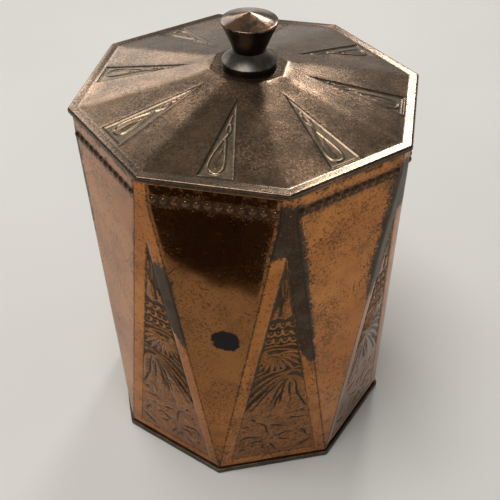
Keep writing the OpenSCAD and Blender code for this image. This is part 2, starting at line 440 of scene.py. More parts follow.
def foot_plants(relief):
    """Worn grass and stems near the foot of a panel."""
    strokes = [
        [(-10.8, 23.2), (-9.6, 22.8)],
        [(-6.6, 24.4), (-4, 22.8), (-3, 19.4), (-2.6, 15.8)],
        [(-1.6, 22.2), (0.6, 21.6), (3.1, 20.6)],
        [(4.7, 24), (6, 25.2), (8, 24.6), (10.6, 24.8)],
        [(8, 28.6), (9.4, 29), (10.6, 28)],
        [(7, 20.2), (8, 20.8)],
        [(-13, 14), (-11, 16.3), (-8, 16), (-5.4, 15.2)],
        [(-9.5, 12.2), (-7, 13), (-4.4, 12.6)],
        [(0.3, 16.2), (1, 15), (3, 16.1), (5, 16.8), (6.3, 16)],
        [(1.6, 13.8), (3, 12.4), (5.6, 12)],
        [(-1.9, 11.2), (-0.5, 9), (0.7, 6.6)],
        [(-3.9, 11), (-4.4, 8.4)],
        [(8.6, 6.8), (11, 8), (14, 10.6)],
        [(-12.6, 9.4), (-10.6, 8.8)],
        [(9.6, 17.4), (11.2, 15.2), (12.2, 12.6)],
        [(-8.6, 27.4), (-7.2, 25.4)],
    ]
    for path in strokes:
        relief.groove(path, 0.42, 0.26)
    wide_clumps = [(-8.6, 19.6, 20), (6.2, 22.6, 160), (-1.2, 18.4, 80), (9.4, 10.6, 35), (-9, 10.4, 170)]
    for t, s, angle in wide_clumps:
        relief.blob((t, s), 3.2, 1.7, angle, 0.14)
    small_clumps = [(3.6, 9.0, 110), (-6.4, 7.6, 60), (4.4, 18.6, 15), (-4.6, 27.6, 100), (6.2, 29.6, 80)]
    for t, s, angle in small_clumps:
        relief.blob((t, s), 2.6, 1.2, angle, 0.16)


def bowed_stroke(relief, dice, start, heading, bow, lengths, width, depth):
    """Short groove from a start along a heading, its middle off to one side by up to the bow."""
    side = np.array([-heading[1], heading[0]]) * dice.uniform(-bow, bow)
    length = dice.uniform(*lengths)
    relief.groove([start, start + heading * length / 2 + side, start + heading * length], width, depth)


def chased_strokes(relief):
    """Many short strokes: fanning down the large leaves, and scattered over the ground at the foot."""
    dice = np.random.default_rng(17)
    root = np.array([3.8, 52.0])
    for _ in range(44):
        heading = facing(math.radians(dice.uniform(-128, -62)))[0]
        start = root + heading * dice.uniform(5, 22)
        bowed_stroke(relief, dice, start, heading, 0.5, (1.8, 4.6), 0.24, 0.17)
    for _ in range(46):
        s = dice.uniform(5, 29)
        half = panel_edge(s + FOLD_BOTTOM) - 0.8
        start = np.array([dice.uniform(-half, half), s])
        heading = facing(math.radians(dice.uniform(-30, 120)))[0]
        bowed_stroke(relief, dice, start, heading, 0.9, (1.4, 3.6), 0.27, 0.15)


def panel_relief(t, z):
    """Height of a body panel's pressed picture, 0 where there is none."""
    s = z - FOLD_BOTTOM
    inset = (panel_edge(z) - np.abs(t)) * math.cos(math.atan(PANEL_HALF / (PANEL_POINT - PANEL_FOOT)))
    inset = np.minimum(inset, z - PANEL_FOOT)
    inside = eased(inset / 0.7)
    depth = -0.44 + 0.28 * leaf_cover(t, s)
    relief = Relief(t, s, 0 * t)
    flower_stem(relief)
    curls(relief)
    fan_flower(relief)
    broad_leaves(relief)
    foot_plants(relief)
    chased_strokes(relief)
    picture = relief.raised * eased((inset - 0.4) / 0.7) - relief.cuts * eased((inset - 0.3) / 0.5)
    edge_line = -0.16 * np.exp(-(((inset - 0.1) / 0.35) ** 2))
    heights = inside * (depth + picture) + edge_line
    cut = np.where(inset > 0, np.clip(relief.cuts / 0.2, 0, 1), 0.0)
    return np.where(inset > -1, heights, 0.0), inset, cut


# ---------------------------------------------------------------- body sheet

def climb(z):
    """How far up the folds a height is, 0 to 1."""
    return np.clip((z - FOLD_BOTTOM) / (FOLD_TOP - FOLD_BOTTOM), 0, 1)


def plain_apothem(z):
    return BASE_CORNER + (MOUTH_FACE - BASE_CORNER) * climb(z)


def panel_apothem(z):
    return BASE_FACE + (MOUTH_CORNER - BASE_FACE) * climb(z)


def plain_half(z, inset=0.0):
    """Half width of a plain face at a height."""
    plain, panel = plain_apothem(z) - inset, panel_apothem(z) - inset
    return (panel - plain * math.cos(HALF)) / math.sin(HALF)


def panel_half(z, inset=0.0):
    """Half width of a panelled face at a height."""
    plain, panel = plain_apothem(z) - inset, panel_apothem(z) - inset
    return np.minimum((plain - panel * math.cos(HALF)) / math.sin(HALF), panel * math.tan(HALF))


def inner_plain_half(z):
    return max(plain_half(z, SHEET), 0)


def inner_panel_half(z):
    return panel_half(z, SHEET)


PLAIN_COLUMNS = 30
PANEL_COLUMNS = 24
FOLD_SOFT = 1.1


def cut_octagon(z, inset, plain_columns=PLAIN_COLUMNS, panel_columns=PANEL_COLUMNS):
    """Loop round the body at a height, set in from the outside."""
    loop = []
    for i in range(SIDES * 2):
        out, side = facing(i * HALF)
        apothem, half, columns = panel_apothem(z) - inset, panel_half(z, inset), panel_columns
        if i % 2 == 0:
            corner = apothem / math.cos(HALF)
            apothem = min(plain_apothem(z) - inset, corner)
            half, columns = max(plain_half(z, inset), 0), plain_columns
        loop.extend(out * apothem + side * t for t in flat_samples(half, columns))
    return np.array(loop)


def face_outline(half_width, columns, levels):
    """Outline of a face: across its foot, up its right side, across its top, down its left side."""
    bottom, top = levels[0], levels[-1]
    foot = [(t, bottom) for t in flat_samples(half_width(bottom), columns)]
    if half_width(bottom) < 1e-6:
        foot = [(0.0, bottom)]
    head = [(t, top) for t in flat_samples(half_width(top), columns)[::-1]]
    right = [(half_width(z), z) for z in levels if bottom < z < top]
    left = [(-half_width(z), z) for z in levels[::-1] if bottom < z < top]
    return foot + right + head + left


BEAD_RINGS = [(0.35, 8), (0.65, 12), (0.88, 16), (1.02, 18), (1.16, 18), (1.38, 18)]
INNER_BEAD_RINGS = [(0.5, 8), (0.85, 12), (1.08, 12), (1.4, 12)]


def bead_points(rings, pitch):
    """Rings of points (radius, count) round every bead of a face, and a lattice between the beads."""
    found = []
    row = (BEADS - 1) * BEAD_PITCH
    for i in range(BEADS):
        middle = i * BEAD_PITCH - row / 2
        found.append((middle, BEAD_LEVEL))
        for radius, count in rings:
            for j in range(count):
                angle = 2 * math.pi * (j + 0.5 * (count % 4 == 2)) / count
                found.append((middle + radius * math.cos(angle), BEAD_LEVEL + radius * math.sin(angle)))
    half = BEADS * BEAD_PITCH / 2
    between = lattice(-half, half, BEAD_LEVEL - 1.8, BEAD_LEVEL + 1.8, pitch)
    between = between[bead_distance(between[:, 0], between[:, 1]) > 1.55]
    between = between[np.abs(between[:, 0]) < plain_half(BEAD_LEVEL) - 0.3]
    return np.concatenate([np.array(found), between])


def bead_distance(t, z):
    """Distance to the nearest bead's middle."""
    row = (BEADS - 1) * BEAD_PITCH
    index = np.clip(np.round((t + row / 2) / BEAD_PITCH), 0, BEADS - 1)
    return np.hypot(t - (index * BEAD_PITCH - row / 2), z - BEAD_LEVEL)


def bead_relief(t, z, inset=0.0):
    """Domed beads with a shallow ring pressed round each, level at the folds."""
    far = bead_distance(t, z)
    inner = eased((plain_half(z, inset) - np.abs(t)) / 0.5)
    dome = 0.68 * np.clip(1 - (far / 1.08) ** 2, 0, 1) ** 0.6
    return inner * (dome - 0.09 * np.exp(-(((far - 1.2) / 0.2) ** 2)))


def face_points(half_width, levels, fine, fine_area):
    """Points inside a face: rows beside its folds, fine points where it has relief, coarse elsewhere."""
    found = []
    for z in levels[1:-1]:
        for away in (0.3, 0.65, 1.05, 1.6, 2.3):
            if half_width(z) - away > 0.3:
                found.extend([(half_width(z) - away, z), (away - half_width(z), z)])
    found = [p for p in found if not fine_area(p[0], p[1])]
    coarse = lattice(-22, 22, levels[0], levels[-1], 2.0)
    for t, z in coarse:
        room = half_width(z) - 3.2 - abs(t)
        if room > 0 and levels[0] + 0.8 < z < levels[-1] - 0.8 and not fine_area(t, z):
            found.append((t, z))
    return np.concatenate([np.array(found).reshape(-1, 2), fine])


def face_mesh(half_width, columns, levels, fine, fine_area):
    """Flat points (t, height) and triangles of a face."""
    outline = face_outline(half_width, columns, levels)
    return triangulate(half_width, outline, face_points(half_width, levels, fine, fine_area))


def stand(t, z, angle, distance):
    """Places points (t, z) of a face that looks along an angle, at their distances from the axis."""
    out, side = facing(angle)
    return np.column_stack([np.outer(distance, out) + np.outer(t, side), z])


# Gap to the nearest fold for the inner side of the sheet, where folds are left sharp
SHARP = 9.0


def soften_folds(points, z, fold_gap):
    """Rounds the folds and gives the sheet slight dents, by small moves towards the axis."""
    near = np.clip(1 - fold_gap / FOLD_SOFT, 0, 1) ** 2
    drop = 0.5 * FOLD_SOFT * math.tan(QUARTER) * near
    drop = drop * eased((z - FOLD_BOTTOM) / 6) * eased((shell_high[2] - z) / 2)
    free = eased((z - FOLD_BOTTOM) / 10) * eased((shell_high[2] - z) / 6)
    dent = (0.05 + 0.036 * waves(points, 30, 3) + 0.010 * waves(points, 9, 4)) * free
    outwards = points[:, :2] / np.linalg.norm(points[:, :2], axis=1)[:, None]
    moved = points.copy()
    moved[:, :2] -= outwards * (drop + np.clip(dent, 0, None))[:, None]
    return moved


# Dark strip beside each panel, partly patina and partly painted reflection of dark surroundings:
# side (1 is right, seen from outside), lowest and highest height, and how far it spreads past the fold
DARK_STRIPS = [(1, 70, 130, 3), (-1, 85, 130, 3), (1, 50, 130, 4), (-1, 62, 130, 4),
               (1, 78, 130, 3), (1, 56, 102, 1.5), (1, 48, 130, 3.2), (-1, 66, 130, 5)]
# How brown each plain face has turned
BROWNING = (0.3, 0.2, 0.35, 0.2, 0.3, 0.1, 0.78, 0.05)


def strip_cover(z, number):
    """How far up a panel's dark strip covers, 0 to 1."""
    _, lowest, highest, _ = DARK_STRIPS[number]
    return eased((z - lowest) / 16) * eased((highest - z) / 6)


def panel_patina_and_painted_reflection(t, z, inset, number):
    """Dark strip on a panelled face, and all above its panel where the strip reaches the top, partly patina
    and partly painted reflection.
    """
    side, lowest, highest, _ = DARK_STRIPS[number]
    width = 1.6 + 3.4 * eased((z - lowest) / 20)
    near_fold = eased((width - panel_half(z) + np.abs(t)) / 0.9)
    beside = eased((-inset + 0.7) / 0.6) * near_fold * (t * side > 0)
    above = eased((z - PANEL_POINT + 5) / 8) * (highest > MOUTH_TOP) * (inset < 0.3)
    return np.maximum(beside, above) * strip_cover(z, number)


def plain_patina_and_painted_shade(t, z, number):
    """Dark strips of the two panelled faces next to a plain face, where they spread over the fold, partly
    patina and partly painted reflection; a band of painted shade along the row of beads under the lid's rim;
    and darker near the folds towards the top.
    """
    # Painted shade: a dark band along the row of beads, under the lid's overhanging rim.
    found = 0.42 * eased(1 - np.abs(z - BEAD_LEVEL) / 6.0)
    for toward, neighbour in ((1, number), (-1, (number - 1) % SIDES)):
        side, _, highest, spread = DARK_STRIPS[neighbour]
        gap = plain_half(z) - toward * t
        touching = side == -toward
        reach = spread * (0.45 + 0.55 * eased((z - 60) / 60)) if touching else 1.6
        strength = 1.05 if touching else 0.8 * eased((z - PANEL_POINT + 14) / 14) * (highest > MOUTH_TOP)
        found = np.maximum(found, strength * np.exp(-gap / reach) * strip_cover(z, neighbour))
    return np.maximum(found, 0.4 * np.exp(-(plain_half(z) - np.abs(t)) / 2.5) * eased((z - 40) / 50))


def near_panel(t, z):
    """Whether a point of a panelled face is on its panel or close beside it."""
    return PANEL_FOOT - 0.8 < z < PANEL_POINT + 1 and abs(t) < panel_edge(z) + 0.8


def panel_points(pitch):
    """Points over a panel and close beside it."""
    found = lattice(-PANEL_HALF - 1, PANEL_HALF + 1, PANEL_FOOT - 0.6, PANEL_POINT + 1, pitch)
    return found[[near_panel(t, z) for t, z in found]]


def in_bead_row(t, z):
    """Whether a point of a plain face is in its row of beads."""
    return abs(z - BEAD_LEVEL) < 1.9 and abs(t) < BEADS * BEAD_PITCH / 2 + 0.2


def add_plain_faces(shape, levels, inner_levels):
    """Outer and inner sides of the plain faces, each with its row of beads."""
    outer, outer_faces = face_mesh(
        plain_half, PLAIN_COLUMNS, levels, bead_points(BEAD_RINGS, 0.6), in_bead_row)
    inner, inner_faces = face_mesh(
        inner_plain_half, PLAIN_COLUMNS, inner_levels, bead_points(INNER_BEAD_RINGS, 1.1), in_bead_row)
    t, z = outer.T
    distance = plain_apothem(z) + bead_relief(t, z)
    fold_gap = plain_half(z) - np.abs(t)
    # The row of beads is darkened, partly tarnish and partly painted shade under the lid's overhanging rim.
    between_beads = 0.66 + 0.34 * np.clip((bead_distance(t, z) - 1.0) / 0.25, 0, 1)
    in_row = eased(1.5 - np.abs(z - BEAD_LEVEL) / 2.0) * eased((fold_gap - 0.2) / 0.8)
    grime = np.maximum(0.85 * np.exp(-(fold_gap / 0.55) ** 2), 0.9 * in_row * between_beads)
    browner = 0.5 + 0.5 * eased((z - 20) / 50)
    inner_t, inner_z = inner.T
    inner_distance = plain_apothem(inner_z) - SHEET + bead_relief(inner_t, inner_z, SHEET)
    for i in range(SIDES):
        angle = i * STEP
        points = stand(t, z, angle, distance)
        shape.add(soften_folds(points, z, fold_gap), outer_faces, grime=grime,
                  patina=plain_patina_and_painted_shade(t, z, i), tarnish=np.maximum(in_row, BROWNING[i] * browner))
        points = stand(inner_t, inner_z, angle, inner_distance)
        shape.add(soften_folds(points, inner_z, SHARP), inner_faces, inside=1)


def add_panelled_faces(shape, levels, inner_levels):
    """Outer and inner sides of the panelled faces. Every second picture is the mirror image."""
    outer, outer_faces = face_mesh(panel_half, PANEL_COLUMNS, levels, panel_points(0.47), near_panel)
    inner, inner_faces = face_mesh(
        inner_panel_half, PANEL_COLUMNS, inner_levels, panel_points(1.3), near_panel)
    t, z = outer.T
    fold_gap = panel_half(z) - np.abs(t)
    fold_line = 0.85 * np.exp(-(fold_gap / 0.55) ** 2)
    browned = 0.6 + 0.4 * eased((z - FOLD_BOTTOM - 38) / 22)
    inner_t, inner_z = inner.T
    pictures = [panel_relief(hand * t, z) for hand in (1, -1)]
    inner_lifts = [panel_relief(hand * inner_t, inner_z)[0] for hand in (1, -1)]
    for i in range(SIDES):
        angle = i * STEP + HALF
        lift, inset, cut = pictures[i % 2]
        recess = np.where(inset > 0, eased((-0.1 - lift) / 0.3), 0)
        picture = eased(inset / 0.5)
        rubbed = eased((lift + 0.22) / 0.22) * eased((z - FOLD_BOTTOM - 50) / 12)
        border_line = 0.85 * np.exp(-((inset - 0.1) / 0.4) ** 2)
        grime = np.maximum(np.maximum(fold_line, border_line), 0.9 * cut)
        points = stand(t, z, angle, panel_apothem(z) + lift)
        shape.add(soften_folds(points, z, fold_gap), outer_faces, recess=recess, grime=grime,
                  patina=panel_patina_and_painted_reflection(t, z, inset, i), picture=picture,
                  tarnish=browned * picture * (1 - 0.6 * rubbed))
        points = stand(inner_t, inner_z, angle, panel_apothem(inner_z) - SHEET + inner_lifts[i % 2])
        shape.add(soften_folds(points, inner_z, SHARP), inner_faces, inside=1)


def make_body(copper):
    """Eight plain faces, narrow at the foot, and eight panelled faces, narrow at the mouth."""
    shape = Shape("recess", "grime", "patina", "inside", "tarnish", "picture")
    bottom, top = shell_low[2], shell_high[2]
    rise = FOLD_TOP - FOLD_BOTTOM
    inner_start = FOLD_BOTTOM - plain_half(FOLD_BOTTOM, SHEET) * rise / plain_half(FOLD_TOP)
    top_levels = np.linspace(FOLD_TOP, top, 9)[1:]
    levels = np.concatenate([np.linspace(FOLD_BOTTOM, FOLD_TOP, 110), top_levels])
    inner_levels = np.concatenate([[inner_start], np.linspace(FOLD_BOTTOM, FOLD_TOP, 46), top_levels])
    add_plain_faces(shape, levels, inner_levels)
    add_panelled_faces(shape, np.concatenate([[bottom], levels]), np.concatenate([[bottom], inner_levels]))
    for level in (bottom, top):
        edge = [(0, level), (SHEET, level)]
        sweep(shape, edge, lambda inset, z=level: cut_octagon(z, inset), closed=False, grime=1)
    return shape.piece("caddy_body", copper, "body", "body_shell", sharp_from=85)


# ---------------------------------------------------------------- other body pieces

def make_mouth_band(material):
    """Strip that lines the mouth and is folded out over the top edge of the sheet."""
    shape = Shape("grime")
    outer, inner = SHEET, SHEET + STRIP
    low, sheet_top = band_low[2], shell_high[2]
    bend = 0.22
    profile = [
        (outer, low + 0.1), *arc((outer + STRIP / 2, low + STRIP / 2), STRIP / 2, 180, 360, 6),
        (inner, low + 2.5), (inner, MOUTH_TOP - 4.5), (inner, MOUTH_TOP - 1.5),
        (inner, MOUTH_TOP - 0.5), (inner - 0.12, MOUTH_TOP - 0.14), (inner - 0.4, MOUTH_TOP),
        (SHEET / 2, MOUTH_TOP), *arc((bend, MOUTH_TOP - bend), bend, 90, 180, 4),
        (0, sheet_top + 0.05), (0.12, sheet_top), (SHEET / 2, sheet_top), (outer, sheet_top),
        (outer, MOUTH_TOP - 4.5),
    ]
    sweep(shape, profile, lambda inset: cut_octagon(MOUTH_TOP, inset, 16, 6))
    return shape.piece("mouth_strip", material, "body", "mouth_band")


def make_foot_ring(material):
    """Rim folded round the bottom of the sheet, slightly uneven where it was dressed by hand."""
    shape = Shape("grime")
    outer = foot_high[0] * math.cos(HALF)
    lip = BASE_FACE - 3.6
    top = foot_high[2]
    profile = [
        (lip, 0.12), (lip + 0.12, 0.0), (BASE_FACE - 1.2, 0.0), (outer - 0.9, 0.0),
        *arc((outer - 0.62, 0.62), 0.62, 280, 360, 5), (outer, 1.0),
        *arc((outer - 0.42, top - 0.42), 0.42, 0, 90, 5), (BASE_FACE + 0.18, top), (BASE_FACE, top - 0.15),
        (BASE_FACE, STRIP), (BASE_FACE - 1.2, STRIP), (lip + 0.12, STRIP), (lip, STRIP - 0.12),
    ]

    def outline(place):
        rounding = 1.6 * eased((place - BASE_FACE) / 0.8) + 0.02
        loop = octagon(place, HALF, rounding, columns=40, arc_steps=6)
        spread = np.column_stack([loop, np.zeros(len(loop))])
        uneven = np.clip(0.07 + 0.05 * waves(spread, 11, 21), 0, 0.2) * eased((place - BASE_FACE) / 0.6)
        return loop - loop / np.linalg.norm(loop, axis=1)[:, None] * uneven[:, None]

    sweep(shape, profile, outline)
    return shape.piece("foot_rim", material, "body", "foot_ring")


def make_base(material):
    """Flat base with a pressed step round its middle."""
    shape = Shape("grime")
    edge = BASE_FACE - SHEET
    under, over = base_low[2], base_high[2]
    steps = [(1.0, 0), (0.93, 0), (0.9, 0.02), (0.87, 0.16),
             (0.84, 0.2), (0.6, 0.2), (0.3, 0.22), (0.02, 0.22)]
    profile = [(edge * part, under + rise) for part, rise in steps[::-1]]
    profile += [(edge * part, over + rise * 0.9) for part, rise in steps]
    sweep(shape, profile, lambda place: octagon(place, HALF, 0, 12))
    return shape.piece("base_sheet", material, "body", "base_plate")


def lumpy(shape, seed, amount):
    """Pulls every point of a shape slightly towards the axis by an uneven amount."""
    for points in shape.points:
        away = np.linalg.norm(points[:, :2], axis=1)[:, None]
        points[:, :2] -= points[:, :2] / away * (amount * (1 + waves(points, 5, seed)) / 2)[:, None]


def hollow_curve(leg):
    """Hollow face of a solder fillet, as distances from the two sheets it joins."""
    return [(leg * (1 - math.sin(a)), leg * (1 - math.cos(a))) for a in np.linspace(0.15, 1.42, 6)]


def make_base_fillet(material):
    """Solder round the base, in the corner between it and the sheet."""
    shape = Shape("grime")
    edge = BASE_FACE - SHEET
    low, high = fillet_low[2], fillet_high[2]
    leg = high - low
    curve = [(edge - a, low + b) for a, b in hollow_curve(leg)]
    sweep(shape, [(edge, low), (edge - leg, low), *curve, (edge, high)],
          lambda place: octagon(place, HALF, 0, 26))
    lumpy(shape, 31, 0.12)
    return shape.piece("base_fillet", material, "body", "base_solder")


def make_seam_run(material):
    """Flat bead of solder up the inside of the seam, with an uneven edge."""
    shape = Shape("grime")
    rows = 120
    half = (seam_high[0] - seam_low[0]) / 2
    section = [(-1, 0), (-0.85, 0.55), (-0.45, 0.9), (0, 1), (0.45, 0.9), (0.85, 0.55), (1, 0)]
    levels = np.linspace(seam_low[2] + 0.1, seam_high[2] - 0.1, rows)
    rings = []
    for k, z in enumerate(levels):
        wall = plain_apothem(z) - SHEET - 0.05
        uneven = 0.9 + 0.1 * math.sin(k * 1.7) * math.sin(k * 0.43)
        end = min(1, 0.25 + min(k, rows - 1 - k) * 0.3)
        rings.append([(x * half * uneven * end, wall - y * 0.3 * uneven * end, z) for x, y in section])
    around = len(section)
    faces = ring_faces(rows, around, False)
    faces += [tuple(range(around)), tuple(range((rows - 1) * around, rows * around))]
    shape.add(np.array(rings).reshape(-1, 3), faces)
    return shape.piece("seam_run", material, "body", "seam_solder")


# ---------------------------------------------------------------- lid

ROOF_RUN = math.hypot(ROOF_FACE - PLATFORM_FACE, PLATFORM_TOP - BORDER_TOP)
ROOF_COLUMNS = 30
HIP_SOFT = 2.2
HIP_TURN = math.radians(10.2)
LID_PANEL_HALF = 5.3
LID_PANEL_START = 0.5
LID_PANEL_LENGTH = 31


def lid_panel_inset(t, s):
    """Distance inside the sunk triangle of a roof face."""
    half = LID_PANEL_HALF * (1 - (s - LID_PANEL_START) / LID_PANEL_LENGTH)
    side = (half - np.abs(t)) * math.cos(math.atan(LID_PANEL_HALF / LID_PANEL_LENGTH))
    return np.minimum(side, s - LID_PANEL_START)


def lid_relief(t, s):
    """Sunk triangle with a raised bud, its outline like a hairpin, and a wavy stem."""
    inset = lid_panel_inset(t, s)
    relief = Relief(t, s, 0 * t)
    relief.blob((-0.7, 6.2), 4.6, 2.0, 94, 0.14)
    relief.ridge([(0.3, 17.4), (-1.3, 13.2), (-2.7, 8.2), (-3.0, 4.8), (-2.3, 2.9), (-0.7, 2.2), (0.8, 2.9),
                  (1.5, 4.8), (1.2, 8.4), (0.5, 12.4), (-0.2, 16.4)], 0.36, 0.36)
    relief.ridge([(-0.9, 4.2), (-0.8, 7.6), (-0.2, 11.6)], 0.3, 0.26)
    relief.ridge([(-0.2, 16.4), (0.7, 18.6), (0.6, 20.6), (-0.2, 22.4), (0.2, 25.2)], 0.34, 0.28)
    relief.ridge([(0.3, 17.4), (-0.5, 19.4), (-0.2, 21.6), (0.5, 23.6)], 0.32, 0.26)
    heights = -0.36 * eased((inset + 0.15) / 0.95) + relief.raised * eased((inset - 0.2) / 0.5)
    lip = 0.04 * np.exp(-(((inset + 0.35) / 0.3) ** 2))
    return heights + lip, inset, relief.raised


def roof_half(s):
    """Half width of a roof face, s up its slope."""
    return (ROOF_FACE + (PLATFORM_FACE - ROOF_FACE) * s / ROOF_RUN) * math.tan(HALF)


def near_lid_panel(t, s):
    """Whether a point of a roof face is on its sunk triangle or close beside it."""
    return lid_panel_inset(t, s) > -0.9 and 0.2 < s < LID_PANEL_LENGTH + 2


def add_roof_faces(shape):
    """The roof faces with their sunk triangles, softened at the hips between them."""
    levels = np.linspace(0, ROOF_RUN, 64)
    fine = lattice(-LID_PANEL_HALF - 1, LID_PANEL_HALF + 1, 0.3, LID_PANEL_LENGTH + 2, 0.3)
    fine = fine[[near_lid_panel(t, s) for t, s in fine]]
    flat, faces = face_mesh(roof_half, ROOF_COLUMNS, levels, fine, near_lid_panel)
    t, s = flat.T
    lift, inset, raised = lid_relief(t, s)
    lift = lift * eased(s / 0.4)
    hip_gap = roof_half(s) - np.abs(t)
    hip_drop = 0.5 * HIP_SOFT * math.tan(HIP_TURN / 2) * np.clip(1 - hip_gap / HIP_SOFT, 0, 1) ** 2
    hip_drop *= eased(s / 4) * eased((ROOF_RUN - s) / 3)
    slope_in = (ROOF_FACE - PLATFORM_FACE) / ROOF_RUN
    slope_up = (PLATFORM_TOP - BORDER_TOP) / ROOF_RUN
    distance = ROOF_FACE - s * slope_in + lift * slope_up
    height = BORDER_TOP + s * slope_up + lift * slope_in - hip_drop
    free = eased(s / 6) * eased((ROOF_RUN - s) / 6)
    recess = eased(inset / 0.5) * eased(1 - raised / 0.3)
    edge = np.maximum(eased(1 - s / 1.2), eased(1 - (ROOF_RUN - s) / 1.6))
    lip = np.exp(-((inset + 0.2) / 0.4) ** 2)
    for i in range(SIDES):
        points = stand(t, height, i * STEP, distance)
        dent = 0.05 + 0.06 * waves(points, 30, 8) + 0.015 * waves(points, 8, 9)
        points[:, 2] -= np.clip(dent, 0, 1) * free
        shape.add(points, faces, recess=recess, edge=np.maximum(edge, 0.35 * lip),
                  high=eased(raised / 0.4) * (inset > 0), grime=np.exp(-(inset / 0.4) ** 2))


def lid_outline(place):
    """Loop round the lid, its corners rounder towards the rim."""
    corner = 1.3 * np.clip((place - ROOF_FACE) / (LID_FACE - ROOF_FACE), 0, 1)
    return octagon(place, 0, corner, ROOF_COLUMNS, 6)


def add_lid_border(shape):
    """Flat border at the foot of the roof, and the rounded rim with a fine line near its lower edge."""
    rounding = arc((LID_FACE - 0.72, BORDER_TOP - 0.72), 0.72, 92, 4, 8)
    border = [
        (ROOF_FACE, BORDER_TOP), (ROOF_FACE + 0.35, BORDER_TOP - 0.05), (ROOF_FACE + 0.8, BORDER_TOP - 0.03),
        (ROOF_FACE + 2.0, BORDER_TOP), *rounding[:2],
    ]
    rim = [
        *rounding[1:],
        (LID_FACE, LID_BOTTOM + 0.72), (LID_FACE - 0.16, LID_BOTTOM + 0.62), (LID_FACE, LID_BOTTOM + 0.52),
        *arc((LID_FACE - 0.3, LID_BOTTOM + 0.3), 0.3, 10, -80, 4), (LID_FACE - 1.3, LID_BOTTOM),
    ]
    sweep(shape, border, lid_outline, closed=False, edge=1)
    sweep(shape, rim, lid_outline, closed=False, grime=0.74)


def add_lid_underside(shape):
    """Inner side of the rim, the border, the roof and the platform."""
    hem = LID_FACE - 1.7
    roof_foot = (ROOF_FACE - 0.2, BORDER_TOP - SHEET)
    roof_head = (PLATFORM_FACE - 0.2, PLATFORM_TOP - SHEET)
    underside = [
        (LID_FACE - 1.3, LID_BOTTOM), *arc((hem + 0.2, LID_BOTTOM + 0.2), 0.2, 270, 180, 3),
        (hem, roof_foot[1] - 0.1), (hem - 0.1, roof_foot[1]), (roof_foot[0] + 0.4, roof_foot[1]),
    ]
    for part in np.linspace(0, 1, 12):
        underside.append(tuple(low + (high - low) * part for low, high in zip(roof_foot, roof_head)))
    underside += [(PLATFORM_FACE - 2, roof_head[1]), (STUD_HOLE + 1.2, roof_head[1])]
    sweep(shape, underside, lid_outline, closed=False, inside=1)


def add_platform(shape):
    """Platform on top of the roof, with the stud's round hole through it."""
    platform = [
        (PLATFORM_FACE, PLATFORM_TOP), (PLATFORM_FACE - 0.4, PLATFORM_TOP + 0.05),
        (PLATFORM_FACE - 1, PLATFORM_TOP), (rose_high[0] + 0.4, PLATFORM_TOP - 0.02),
        (rose_high[0] - 1, PLATFORM_TOP), (STUD_HOLE + 1.2, PLATFORM_TOP),
    ]
    sweep(shape, platform, lid_outline, closed=False, edge=0.35)
    around = lid_outline(STUD_HOLE + 1.2)
    hole = around / np.linalg.norm(around, axis=1)[:, None] * STUD_HOLE
    under = PLATFORM_TOP - SHEET
    loops = [(around, PLATFORM_TOP), (hole, PLATFORM_TOP), (hole, under), (around, under)]
    rings = [at_height(loop, z) for loop, z in loops]
    shape.add(np.concatenate(rings), ring_faces(len(rings), len(around), False))


def make_lid(copper):
    shape = Shape("recess", "grime", "inside", "edge", "high")
    add_roof_faces(shape)
    add_lid_border(shape)
    add_lid_underside(shape)
    add_platform(shape)
    return shape.piece("lid_roof", copper, "lid", "lid_top", sharp_from=85)


def collar_loop(inset):
    """Loop round the collar, set in from its outside."""
    face = collar_high[0] - inset
    corner = MOUTH_CORNER - (MOUTH_FACE - collar_high[0]) - inset
    loop = []
    for i in range(SIDES * 2):
        out, side = facing(i * HALF)
        here, other, columns = (corner, face, 6) if i % 2 else (face, corner, 16)
        half = (other - here * math.cos(HALF)) / math.sin(HALF)
        loop.extend(out * here + side * t for t in flat_samples(half, columns))
    return np.array(loop)


def make_collar(material):
    """Skirt under the lid, with a stiffening bead pressed round it and a rounded lower edge."""
    shape = Shape("grime")
    thick = COLLAR_SHEET
    low, high = collar_low[2], collar_high[2]
    bead = [(0.22 * math.sin(math.pi * k / 6), low + 2.6 + 1.2 * k / 6) for k in range(7)]
    profile = arc((thick / 2, low + thick / 2), thick / 2, 180, 360, 6)
    profile += [(thick + a, b) for a, b in bead] + [(thick, low + 7), (thick, high)]
    profile += [(0, high), (0, low + 7)] + bead[::-1]
    sweep(shape, profile, collar_loop)
    return shape.piece("lid_skirt", material, "lid", "lid_collar")


def make_collar_fillet(material):
    """Solder inside the collar, in the corner between it and the lid."""
    shape = Shape("grime")
    low, high = collar_fillet_low[2], collar_fillet_high[2]
    leg = high - low
    curve = [(COLLAR_SHEET + a, high - b) for a, b in hollow_curve(leg)]
    sweep(shape, [(COLLAR_SHEET, high), (COLLAR_SHEET + leg, high), *curve, (COLLAR_SHEET, low)], collar_loop)
    lumpy(shape, 33, 0.1)
    return shape.piece("collar_fillet", material, "lid", "collar_solder")


# ---------------------------------------------------------------- knob and its fastening

def turned_marks(profile, seed, amount=0.012):
    """Leaves fine tool marks on a turned profile of (radius, z) points, always cutting inwards."""
    dice = np.random.default_rng(seed)
    cuts = amount * dice.random(len(profile))
    cuts[0] = cuts[-1] = 0
    return [(max(r - cut, 0.0), z) for (r, z), cut in zip(profile, cuts)]


